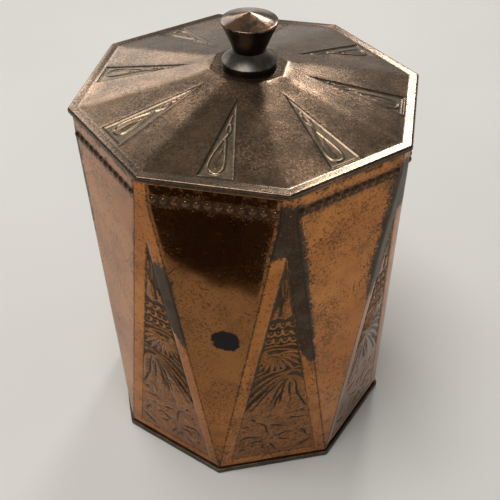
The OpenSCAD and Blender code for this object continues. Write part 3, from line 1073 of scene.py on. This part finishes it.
def make_knob(material):
    """Turned knob: concave flare, thin rim, coned top and a blind bore for the stud."""
    shape = Shape("top", "grime")
    bottom, apex = knob_low[2], knob_high[2]
    crown = 2.5
    rim_level = apex - crown
    radius = knob_high[0]
    flare = []
    for part in np.linspace(0, 1, 30):
        swell = part ** 1.12
        flare.append((NECK + (radius - 0.15 - NECK) * swell, bottom + (rim_level - 0.75 - bottom) * part))
    rim = [(radius, rim_level - 0.55), (radius, rim_level - 0.25),
           (radius - 0.1, rim_level - 0.06), (radius - 0.32, rim_level)]
    cone = [((radius - 0.4) * (1 - part), rim_level + crown * part ** 0.94)
            for part in np.linspace(0.02, 0.965, 34)]
    tip = [(0.16, apex - 0.05), (0.01, apex)]
    bore_top = stud_high[2] + 0.2
    bore = [(0.01, bore_top), (THREAD_HOLE, bore_top), (THREAD_HOLE, bottom), (NECK - 0.2, bottom)]
    turn(shape, [*bore, *turned_marks(flare, 41)], closed=False)
    turn(shape, [flare[-1], *rim[:2]], closed=False, top=0.3)
    turn(shape, rim[1:], closed=False, top=0.7)
    turn(shape, [rim[-1], *turned_marks(cone, 42), *tip], closed=False, top=1)
    close_ends(shape, [bore_top, apex])
    return shape.piece("turned_knob", material, "lid", "knob")


def close_ends(shape, levels, around=96):
    """Closes the pinholes on the axis of a turned shape."""
    for z in levels:
        shape.add(at_height(0.01 * circle(around), z), [tuple(range(around))], top=1)


def make_rose(material):
    """Turned rose: straight edge and a concave cone up to the knob's neck."""
    shape = Shape("top", "grime")
    low, high = rose_low[2], rose_high[2]
    radius, edge = rose_high[0], 2.2
    cone = []
    for part in np.linspace(0, 1, 22):
        sag = 0.3 * math.sin(math.pi * part)
        reach = radius - 0.22 + (NECK - radius + 0.22) * part - sag
        cone.append((reach, low + edge + (high - low - edge) * part - sag * 0.4))
    straight = [(radius, low + z) for z in np.linspace(0.35, edge - 0.3, 8)]
    side = [(radius - 0.18, low), (radius, low + 0.18), *straight, (radius - 0.07, low + edge - 0.09)]
    turn(shape, [(STUD_HOLE, high), (STUD_HOLE, low), *turned_marks(side, 43, 0.02)], closed=False)
    top = [side[-1], *turned_marks(cone, 44), (NECK - 0.3, high), (STUD_HOLE, high)]
    turn(shape, top, closed=False, top=0.9)
    return shape.piece("turned_rose", material, "lid", "knob_rose")


def make_stud(material):
    """Stud with a cut thread from end to end."""
    shape = Shape("grime")
    low, high = stud_low[2], stud_high[2]
    radius = stud_high[0]
    pitch, depth, around = 0.7, 0.28, 32
    levels = np.arange(low, high + 1e-6, pitch / 6)
    angles = np.arange(around) * 2 * math.pi / around
    ring = circle(around)
    rings = [at_height(0.02 * ring, low)]
    for z in levels:
        phase = (z - low) / pitch - angles / (2 * math.pi)
        thread = np.abs(2 * (phase - np.floor(phase)) - 1)
        near_end = min(1, (z - low) / 0.6, (high - z) / 0.6)
        reach = radius - depth * thread - 0.35 * (1 - near_end)
        rings.append(at_height(reach[:, None] * ring, z))
    rings.append(rings[0] + [0, 0, levels[-1] - low])
    faces = ring_faces(len(rings), around, False)
    faces += [tuple(range(around)), tuple(range((len(rings) - 1) * around, len(rings) * around))]
    shape.add(np.concatenate(rings), faces)
    return shape.piece("threaded_stud", material, "lid", "knob_stud")


def make_washer(material):
    shape = Shape("grime")
    low, high, outer = washer_low[2], washer_high[2], washer_high[0]
    soft = 0.16
    profile = [
        (STUD_HOLE, high - soft), (STUD_HOLE, low + soft), (STUD_HOLE + soft, low), (outer - 0.3, low),
        *arc((outer - soft, low + soft), soft, 270, 360, 3),
        *arc((outer - soft, high - soft), soft, 0, 90, 3),
        (outer - 0.4, high), (STUD_HOLE + soft, high),
    ]
    turn(shape, profile, 64)
    return shape.piece("plain_washer", material, "lid", "stud_washer")


def make_nut(material):
    """Square nut, its corners chamfered and its bore countersunk."""
    shape = Shape("grime")
    low, high, half = nut_low[2], nut_high[2], nut_high[0]
    wide = half * math.sqrt(2)
    ring = circle(96)

    def square(reach):
        """Loop round the nut, nowhere farther from the axis than the reach."""
        away = half / np.abs(ring).max(axis=1)
        return ring * np.minimum(np.minimum(away, wide - 0.35), reach)[:, None]

    loops = [
        (ring * THREAD_HOLE, high - 0.4), (ring * THREAD_HOLE, low + 0.4), (ring * (THREAD_HOLE + 0.35), low),
        (square(half - 0.1), low), (square(half + 0.35), low + 0.18), (square(wide), low + 0.75),
        (square(wide), high - 0.75), (square(half + 0.35), high - 0.18), (square(half - 0.1), high),
        (ring * (THREAD_HOLE + 0.35), high),
    ]
    rings = [at_height(loop, z) for loop, z in loops]
    shape.add(np.concatenate(rings), ring_faces(len(rings), len(ring), True))
    return shape.piece("square_nut", material, "lid", "stud_nut")


# ---------------------------------------------------------------- materials

class Graph:
    """A material's node tree. Sizes are in millimetres of the object's own space."""

    def __init__(self, name):
        self.material = bpy.data.materials.new(name)
        self.material.use_nodes = True
        self.nodes = self.material.node_tree.nodes
        self.links = self.material.node_tree.links
        self.nodes.clear()
        out = self.nodes.new("ShaderNodeOutputMaterial")
        self.shader = self.nodes.new("ShaderNodeBsdfPrincipled")
        self.links.new(self.shader.outputs[0], out.inputs["Surface"])
        self.place = self.nodes.new("ShaderNodeTexCoord").outputs["Object"]

    def feed(self, socket, value):
        """Links a socket to another node's output, or sets its value."""
        if isinstance(value, bpy.types.NodeSocket):
            self.links.new(value, socket)
        else:
            socket.default_value = value

    def node(self, kind, inputs, **settings):
        """Outputs of a new node. Its inputs are given by name or number, after its settings."""
        made = self.nodes.new("ShaderNode" + kind)
        for name, value in settings.items():
            setattr(made, name, value)
        for key, value in inputs.items():
            self.feed(made.inputs[key], value)
        return made.outputs

    def noise(self, size, detail=3.0, roughness=0.55, distortion=0.0, place=None):
        place = self.place if place is None else place
        return self.node("TexNoise", {"Vector": place, "Scale": 1 / (size * MM), "Detail": detail,
                                      "Roughness": roughness, "Distortion": distortion})[0]

    def cells(self, size):
        """Distance from the middle of the nearest of many scattered cells."""
        return self.node("TexVoronoi", {"Vector": self.place, "Scale": 1 / (size * MM)})["Distance"]

    def step(self, value, low, high):
        """0 below low and 1 above high, smooth between them."""
        return self.node("MapRange", {"Value": value, "From Min": low, "From Max": high},
                         interpolation_type="SMOOTHSTEP")[0]

    def span(self, value, low, high):
        """0 to 1 becomes low to high."""
        return self.node("MapRange", {"Value": value, "To Min": low, "To Max": high})[0]

    def maths(self, operation, a, b):
        return self.node("Math", {0: a, 1: b}, operation=operation)[0]

    def add(self, a, b):
        return self.maths("ADD", a, b)

    def less(self, a, b):
        return self.maths("SUBTRACT", a, b)

    def times(self, a, b):
        return self.maths("MULTIPLY", a, b)

    def most(self, *values):
        """The largest of some numbers."""
        return functools.reduce(lambda a, b: self.maths("MAXIMUM", a, b), values)

    def frayed(self, value, noise, amount):
        """A number made uneven by a noise, by up to half the amount either way."""
        return self.add(value, self.times(self.less(noise, 0.5), amount))

    def vector(self, operation, a, b=(0, 0, 0)):
        return self.node("VectorMath", {0: a, 1: b}, operation=operation)

    def mix(self, factor, a, b):
        """Colour a at factor 0 and b at factor 1."""
        a, b = ((*colour, 1) if isinstance(colour, tuple) else colour for colour in (a, b))
        return self.node("Mix", {0: factor, 6: a, 7: b}, data_type="RGBA")[2]

    def tint(self, colour, mask, amount, other):
        """The colour, turned towards another by the amount where the mask is 1."""
        return self.mix(self.span(mask, 0, amount), colour, other)

    def patches(self, field, low, high, a, b):
        """Colour a where the field is below low and b where it is above high."""
        return self.mix(self.step(field, low, high), a, b)

    def blend(self, factor, a, b):
        """Number a at factor 0 and b at factor 1."""
        return self.node("Mix", {0: factor, 2: a, 3: b})[0]

    def value(self, name):
        """Value that the mesh holds at its points."""
        return self.node("Attribute", {}, attribute_name=name)["Fac"]

    def spot(self, centre, radii):
        """Distance from a centre in units of the radii, 1 at the spot's edge."""
        away = self.vector("SUBTRACT", self.place, [c * MM for c in centre])[0]
        scaled = self.vector("DIVIDE", away, [r * MM for r in radii])[0]
        return self.vector("LENGTH", scaled)["Value"]

    def lines(self, size, width, distortion):
        """Thin wandering lines, 1 on a line: the contour of a noise at its middle value."""
        off = self.maths("ABSOLUTE", self.less(self.noise(size, 2, 0.5, distortion), 0.5), 0)
        return self.less(1.0, self.step(off, width * 0.4, width))

    def dashes(self, size, length, tilt, rare):
        """Short straight marks, 1 on a mark: rare peaks of a noise drawn out along a tilted direction."""
        turned = self.node("Mapping", {"Vector": self.place, "Rotation": [math.radians(a) for a in tilt],
                                       "Scale": (1, 1, length)}, vector_type="TEXTURE")[0]
        return self.step(self.noise(size, 1, 0.5, place=turned), rare, rare + 0.04)

    def finish(self, colour, metallic, roughness, height):
        """Wires the shader. The height is in millimetres."""
        bump = self.node("Bump", {"Strength": 1, "Distance": MM, "Height": height})[0]
        surface = {"Base Color": colour, "Metallic": metallic, "Roughness": roughness, "Normal": bump}
        for name, value in surface.items():
            self.feed(self.shader.inputs[name], value)
        return self.material


# Dark stain on the front plain face: middle and half widths
STAIN_PLACE = (3.2, -53, 70.6)
STAIN_SIZE = (4.9, 8, 4.6)


def copper_scratches(g):
    """Short scratches in several directions, and a few long ones."""
    short = g.most(g.dashes(0.55, 9, (25, 12, 0), 0.68),
                   *[g.dashes(0.5, 7, tilt, 0.69) for tilt in ((-38, 20, 40), (70, -15, 10), (50, 60, 80))])
    short = g.times(short, g.step(g.noise(14, 2), 0.40, 0.55))
    long = g.times(g.lines(19, 0.004, 0.2), g.step(g.noise(9, 2), 0.54, 0.62))
    return g.most(short, long)


def body_copper():
    """Polished copper with specks, scratches, a stain, grime in the folds, dark recesses, painted shade along
    the row of beads, and dark strips that are partly patina and partly painted reflection.
    """
    g = Graph("body_copper")
    broad = g.noise(38, 3, 0.6)
    drift = g.noise(70, 2, 0.5)
    middle = g.noise(7, 4, 0.6)
    fine = g.noise(1.1, 4, 0.65)
    speckle = g.noise(0.7, 5, 0.8)
    colour = g.patches(broad, 0.35, 0.65, (0.41, 0.152, 0.044), (0.53, 0.220, 0.066))
    colour = g.tint(colour, g.step(drift, 0.5, 0.7), 0.5, (0.44, 0.205, 0.105))
    colour = g.tint(colour, g.step(middle, 0.42, 0.75), 0.7, (0.27, 0.108, 0.036))
    # Tarnish, which along the row of beads is also painted shade under the lid's rim.
    colour = g.tint(colour, g.value("tarnish"), 0.72, (0.140, 0.072, 0.034))
    specks = g.step(g.frayed(g.noise(0.9, 3, 0.7), g.noise(16, 3, 0.6), 0.45), 0.54, 0.64)
    colour = g.tint(colour, specks, 0.72, (0.125, 0.050, 0.022))

    recess = g.step(g.frayed(g.value("recess"), fine, 0.9), 0.15, 0.95)
    recess_colour = g.patches(middle, 0.4, 0.6, (0.024, 0.019, 0.014), (0.056, 0.041, 0.027))
    colour = g.tint(colour, recess, 0.9, recess_colour)
    # Dark strips beside the panels, partly patina and partly painted reflection, and a band of painted shade
    # along the row of beads.
    patina = g.frayed(g.frayed(g.value("patina"), speckle, 2.4), g.noise(4, 3, 0.6), 1.1)
    patina = g.step(patina, 0.40, 0.66)
    strip_colour = g.patches(middle, 0.4, 0.62, (0.019, 0.018, 0.015), (0.056, 0.045, 0.032))
    strip_colour = g.tint(strip_colour, g.step(speckle, 0.53, 0.67), 0.7, (0.17, 0.085, 0.038))
    colour = g.tint(colour, patina, 0.94, strip_colour)
    # Grime in the folds and grooves, and painted shade along the row of beads.
    grime = g.step(g.frayed(g.value("grime"), fine, 1.3), 0.4, 0.95)
    colour = g.tint(colour, grime, 0.88, (0.028, 0.019, 0.012))

    pits = g.less(1.0, g.step(g.cells(1.9), 0.10, 0.20))
    pits = g.times(pits, g.step(g.noise(8, 2), 0.47, 0.55))
    engraving = g.times(g.lines(2.3, 0.035, 1.2), g.value("picture"))
    marks = g.most(pits, copper_scratches(g), g.times(engraving, 0.8))
    colour = g.tint(colour, marks, 0.85, (0.05, 0.028, 0.016))
    stain = g.frayed(g.spot(STAIN_PLACE, STAIN_SIZE), g.noise(2.0, 5, 0.75), 0.8)
    stain = g.less(1.0, g.step(stain, 0.90, 1.04))
    colour = g.mix(stain, colour, (0.018, 0.016, 0.015))
    inside = g.value("inside")
    inside_colour = g.patches(middle, 0.35, 0.65, (0.30, 0.15, 0.075), (0.17, 0.095, 0.055))
    colour = g.mix(inside, colour, inside_colour)

    dirt_and_painted_shade = g.most(g.span(recess, 0, 0.75), patina, grime, stain)
    roughness = g.blend(dirt_and_painted_shade, g.span(middle, 0.05, 0.13), 0.40)
    roughness = g.blend(inside, roughness, 0.5)
    height = g.add(g.times(fine, 0.002), g.times(patina, 0.01))
    height = g.less(height, g.times(marks, 0.004))
    return g.finish(colour, g.span(dirt_and_painted_shade, 1.0, 0.88), roughness, height)


def lid_copper():
    """Worn copper under a smooth brown patina, rubbed bright along the border and the ridges."""
    g = Graph("lid_copper")
    broad = g.noise(26, 3, 0.55)
    middle = g.noise(5, 4, 0.65)
    speckle = g.noise(0.8, 4, 0.75)
    grain = g.noise(0.3, 2, 0.6)
    brown = g.patches(middle, 0.35, 0.65, (0.150, 0.099, 0.062), (0.235, 0.154, 0.096))
    rubbed = g.patches(speckle, 0.4, 0.6, (0.32, 0.198, 0.122), (0.44, 0.28, 0.18))
    colour = g.patches(g.add(g.times(broad, 0.8), g.times(speckle, 0.25)), 0.53, 0.68, brown, rubbed)
    edge = g.step(g.frayed(g.value("edge"), speckle, 2.6), 0.75, 1.25)
    colour = g.tint(colour, edge, 0.45, (0.42, 0.33, 0.26))
    spots = g.step(g.frayed(g.noise(0.95, 3, 0.75), g.noise(10, 3), 0.4), 0.53, 0.61)
    colour = g.tint(colour, spots, 0.76, (0.050, 0.035, 0.023))
    recess = g.step(g.frayed(g.value("recess"), speckle, 0.9), 0.3, 1.0)
    recess_colour = g.patches(middle, 0.4, 0.6, (0.085, 0.085, 0.055), (0.13, 0.125, 0.085))
    colour = g.tint(colour, recess, 0.42, recess_colour)
    high = g.step(g.value("high"), 0.45, 1.0)
    colour = g.tint(colour, high, 0.45, (0.42, 0.34, 0.24))
    grime = g.step(g.value("grime"), 0.4, 0.95)
    colour = g.tint(colour, grime, 0.7, (0.035, 0.028, 0.022))
    inside_colour = g.patches(middle, 0.35, 0.65, (0.34, 0.18, 0.09), (0.2, 0.11, 0.065))
    colour = g.mix(g.value("inside"), colour, inside_colour)
    roughness = g.blend(edge, g.span(speckle, 0.19, 0.33), 0.2)
    roughness = g.blend(recess, roughness, 0.34)
    roughness = g.blend(high, roughness, 0.2)
    metallic = g.span(g.most(recess, spots), 0.97, 0.8)
    height = g.add(g.times(speckle, 0.016), g.times(grain, 0.004))
    return g.finish(colour, metallic, roughness, height)


def turned_bronze(name, top_dull, top_rubbed, top_roughness):
    """Dark turned bronze, its upper surface rubbed to lighter colours."""
    g = Graph(name)
    rings = g.noise(0.5, 3, 0.6, place=g.vector("MULTIPLY", g.place, (0.05, 0.05, 1))[0])
    middle = g.noise(4, 4, 0.6)
    speckle = g.noise(0.6, 4, 0.7)
    dark = g.patches(middle, 0.4, 0.65, (0.018, 0.013, 0.009), (0.036, 0.027, 0.020))
    top = g.patches(middle, 0.42, 0.6, top_dull, top_rubbed)
    top = g.tint(top, g.step(speckle, 0.56, 0.68), 0.4, (0.07, 0.05, 0.04))
    worn = g.step(g.frayed(g.value("top"), speckle, 0.5), 0.35, 0.8)
    top_roughness = g.span(speckle, top_roughness - 0.06, top_roughness + 0.06)
    roughness = g.blend(worn, g.span(speckle, 0.30, 0.42), top_roughness)
    height = g.add(g.times(rings, 0.012), g.times(speckle, 0.003))
    return g.finish(g.mix(worn, dark, top), 0.9, roughness, height)


def dark_bronze():
    """Nearly black foot rim with a hint of green and copper at its rubbed edge."""
    g = Graph("dark_bronze")
    middle = g.noise(5, 4, 0.65)
    speckle = g.noise(0.8, 4, 0.7)
    colour = g.patches(middle, 0.4, 0.62, (0.062, 0.048, 0.034), (0.095, 0.088, 0.062))
    colour = g.tint(colour, g.step(speckle, 0.54, 0.68), 0.7, (0.26, 0.14, 0.08))
    return g.finish(colour, 0.75, g.span(middle, 0.32, 0.5), g.times(speckle, 0.03))


def edge_copper():
    """Copper strip at the mouth, browned and rubbed."""
    g = Graph("edge_copper")
    middle = g.noise(6, 4, 0.6)
    speckle = g.noise(0.8, 4, 0.7)
    colour = g.patches(middle, 0.35, 0.65, (0.42, 0.2, 0.1), (0.24, 0.13, 0.08))
    colour = g.tint(colour, g.step(speckle, 0.52, 0.7), 0.8, (0.06, 0.04, 0.03))
    return g.finish(colour, 0.95, g.span(speckle, 0.25, 0.5), g.times(speckle, 0.02))


def tinned_sheet():
    """Dull tinned sheet with crystalline patches and a little rust brown."""
    g = Graph("tinned_sheet")
    middle = g.noise(5, 4, 0.6)
    speckle = g.noise(0.7, 4, 0.7)
    colour = g.patches(g.cells(9), 0.1, 0.7, (0.42, 0.41, 0.39), (0.55, 0.54, 0.51))
    colour = g.tint(colour, g.step(middle, 0.52, 0.7), 0.75, (0.27, 0.2, 0.14))
    colour = g.tint(colour, g.step(speckle, 0.6, 0.7), 0.6, (0.12, 0.09, 0.07))
    return g.finish(colour, 0.9, g.span(middle, 0.28, 0.55), g.times(speckle, 0.015))


def solder():
    """Grey solder, lumpy and dull."""
    g = Graph("solder")
    middle = g.noise(2.5, 4, 0.6)
    speckle = g.noise(0.6, 4, 0.7)
    colour = g.patches(middle, 0.35, 0.65, (0.3, 0.3, 0.29), (0.48, 0.47, 0.45))
    colour = g.tint(colour, g.step(speckle, 0.58, 0.7), 0.5, (0.14, 0.11, 0.09))
    return g.finish(colour, 0.85, g.span(middle, 0.35, 0.6), g.times(middle, 0.08))


def fastener_steel():
    """Tarnished steel with brown spots."""
    g = Graph("fastener_steel")
    middle = g.noise(2.2, 4, 0.6)
    speckle = g.noise(0.5, 4, 0.7)
    colour = g.patches(middle, 0.35, 0.65, (0.24, 0.23, 0.22), (0.38, 0.37, 0.35))
    colour = g.tint(colour, g.step(speckle, 0.52, 0.68), 0.8, (0.16, 0.09, 0.055))
    return g.finish(colour, 0.9, g.span(speckle, 0.3, 0.6), g.times(speckle, 0.02))


def pale_floor():
    """Plain pale matt floor."""
    g = Graph("pale_floor")
    colour = g.patches(g.noise(220, 3, 0.5), 0.3, 0.7, (0.70, 0.69, 0.655), (0.75, 0.74, 0.71))
    return g.finish(colour, 0.0, 0.9, g.times(g.noise(1.6, 3, 0.6), 0.05))


def dark_cloth():
    """Brown-black felt of the card in front."""
    g = Graph("dark_cloth")
    streaks = g.noise(6, 3, place=g.vector("MULTIPLY", g.place, (1, 0.1, 1))[0])
    colour = g.patches(streaks, 0.35, 0.65, (0.020, 0.014, 0.011), (0.052, 0.034, 0.024))
    return g.finish(colour, 0.0, 0.95, g.times(g.noise(1, 2), 0.05))


# ---------------------------------------------------------------- stage, light and camera

def flat_sheet(name, outline, material):
    """Flat object from an outline in metres."""
    mesh = bpy.data.meshes.new(name)
    mesh.from_pydata(outline, [], [tuple(range(len(outline)))])
    mesh.materials.append(material)
    sheet = bpy.data.objects.new(name, mesh)
    bpy.context.scene.collection.objects.link(sheet)
    return sheet


def make_floor(material):
    reach = 1.2
    outline = [(-reach, -reach, 0), (reach, -reach, 0), (reach, reach, 0), (-reach, reach, 0)]
    floor = flat_sheet("floor", outline, material)


def area_light(name, place, aim, width, height, power, colour):
    """Soft rectangular light at a place, looking at a point, both in metres."""
    data = bpy.data.lights.new(name, "AREA")
    data.shape = "RECTANGLE"
    data.size, data.size_y = width, height
    data.energy = power
    data.color = colour
    lamp = bpy.data.objects.new(name, data)
    lamp.location = place
    lamp.rotation_euler = (Vector(aim) - Vector(place)).to_track_quat("-Z", "Y").to_euler()
    bpy.context.scene.collection.objects.link(lamp)


def make_world():
    """Dim room that is pale along the horizon and below it."""
    world = bpy.data.worlds.new("room")
    world.use_nodes = True
    nodes, links = world.node_tree.nodes, world.node_tree.links
    heading = nodes.new("ShaderNodeTexCoord").outputs["Generated"]
    split = nodes.new("ShaderNodeSeparateXYZ")
    fade = nodes.new("ShaderNodeMapRange")
    fade.interpolation_type = "SMOOTHSTEP"
    fade.inputs["From Min"].default_value = 0.02
    fade.inputs["From Max"].default_value = 0.30
    shade = nodes.new("ShaderNodeMix")
    shade.data_type = "RGBA"
    shade.inputs[6].default_value = (0.60, 0.59, 0.565, 1)
    shade.inputs[7].default_value = (0.165, 0.163, 0.158, 1)
    links.new(heading, split.inputs[0])
    links.new(split.outputs["Z"], fade.inputs["Value"])
    links.new(fade.outputs[0], shade.inputs[0])
    links.new(shade.outputs[2], nodes["Background"].inputs["Color"])
    bpy.context.scene.world = world


def make_lights():
    aim = (0, 0, 0.12)
    area_light("window", (0.08, 1.10, 0.90), aim, 0.20, 0.30, 3.4, (1.0, 0.985, 0.96))
    area_light("skylight", (-0.03, 0.90, 1.055), aim, 0.16, 0.16, 0.7, (1.0, 0.985, 0.96))
    area_light("left_wall", (-0.95, 1.05, 0.80), aim, 0.9, 0.6, 5.2, (1.0, 0.97, 0.94))
    area_light("ceiling", (-0.3, -0.3, 2.1), aim, 1.1, 0.9, 25, (1.0, 0.985, 0.96))
    make_world()
    bpy.context.scene.view_settings.view_transform = "Standard"


def make_dark_card(material):
    """Dark card on the floor in front, seen only as the dark shape that the front face reflects.

    It is an oval with its right side cut off straight.
    """
    middle_x, middle_y = -8, -262
    half_width, half_length = 84, 110
    straight_side = 0
    outline = []
    for a in np.linspace(0, 2 * math.pi, 64, endpoint=False):
        x = min(middle_x + half_width * math.cos(a), straight_side)
        outline.append((x * MM, (middle_y + half_length * math.sin(a)) * MM, 0.5 * MM))
    card = flat_sheet("dark_card", outline, material)
    card.visible_camera = False
    card.visible_diffuse = False
    card.visible_shadow = False


# Camera: place in millimetres, turn in degrees, and the focal length for a 36 mm sensor
CAMERA_PLACE = (44.0, -232.2, 266.4)
CAMERA_TURN = (49.416, -0.4535, 10.911)
CAMERA_LENS = 60.29
CAMERA_SENSOR = 36


def make_camera():
    data = bpy.data.cameras.new("camera")
    data.sensor_width = CAMERA_SENSOR
    data.lens = CAMERA_LENS
    data.clip_start = 0.01
    camera = bpy.data.objects.new("camera", data)
    camera.location = [c * MM for c in CAMERA_PLACE]
    camera.rotation_euler = [math.radians(a) for a in CAMERA_TURN]
    bpy.context.scene.collection.objects.link(camera)
    bpy.context.scene.camera = camera


# ---------------------------------------------------------------- build

make_camera()
make_lights()
make_floor(pale_floor())
make_dark_card(dark_cloth())

knob_bronze = turned_bronze("knob_bronze", (0.10, 0.075, 0.06), (0.30, 0.17, 0.10), 0.17)
rose_bronze = turned_bronze("rose_bronze", (0.085, 0.076, 0.068), (0.15, 0.128, 0.105), 0.40)
tin = tinned_sheet()
solder_grey = solder()
steel = fastener_steel()

make_body(body_copper())
make_mouth_band(edge_copper())
make_foot_ring(dark_bronze())
make_base(tin)
make_base_fillet(solder_grey)
make_seam_run(solder_grey)
make_lid(lid_copper())
make_collar(tin)
make_collar_fillet(solder_grey)
make_knob(knob_bronze)
make_rose(rose_bronze)
make_stud(steel)
make_washer(steel)
make_nut(steel)
